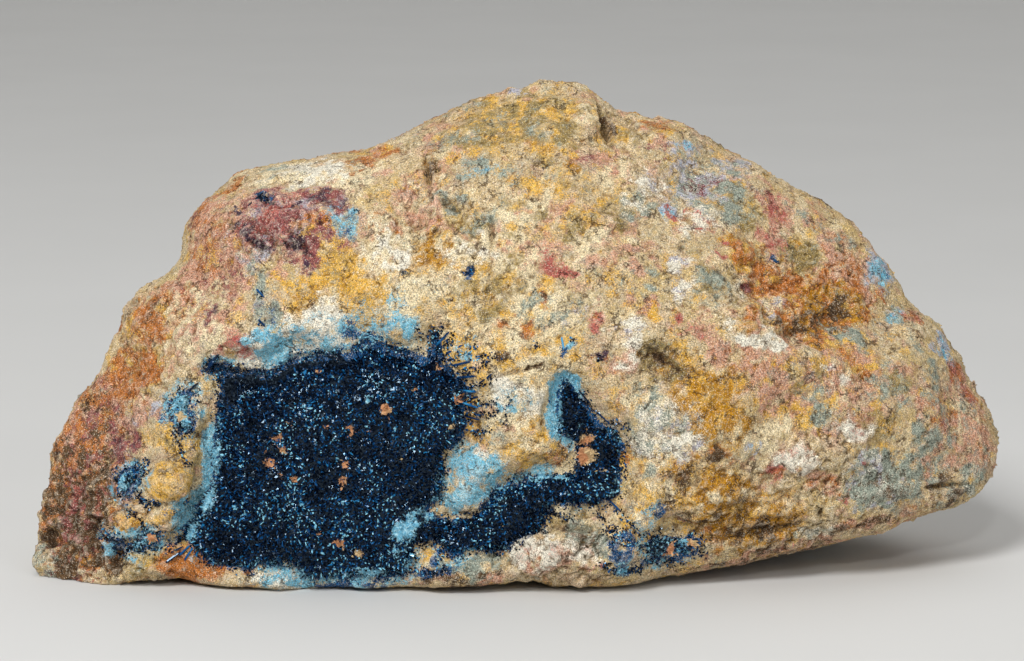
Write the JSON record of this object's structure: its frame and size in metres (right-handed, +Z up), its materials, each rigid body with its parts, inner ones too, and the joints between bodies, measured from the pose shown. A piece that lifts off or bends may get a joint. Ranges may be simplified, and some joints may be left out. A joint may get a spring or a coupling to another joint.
{
  "type": "clinoclase specimen",
  "caption": "Loose hand specimen of altered rock with drusy dark blue clinoclase crusts sunk in its face; rests on a flat base.",
  "frame": {"origin": "under the centre of the bounding box, on the base plane", "axes": "+X along the specimen's length, to the right as its crystal face is looked at; -Y the way the crystal face looks; +Z up"},
  "size_m": [0.096, 0.0372, 0.0479],
  "materials": {
    "altered_rock": "matt, gritty altered rock, tan with ochre, pink, rusty, cream and pale blue areas",
    "clinoclase": "small glassy crystals, dark greenish blue to near black, sparkling"
  },
  "bodies": {
    "root": {"host_rock": "altered_rock", "clinoclase_crust_main": "clinoclase", "clinoclase_patch_left_upper": "clinoclase", "clinoclase_patch_left_middle": "clinoclase", "clinoclase_patch_left_lower": "clinoclase", "clinoclase_patch_lower_right": "clinoclase"}
  },
  "joints": []
}
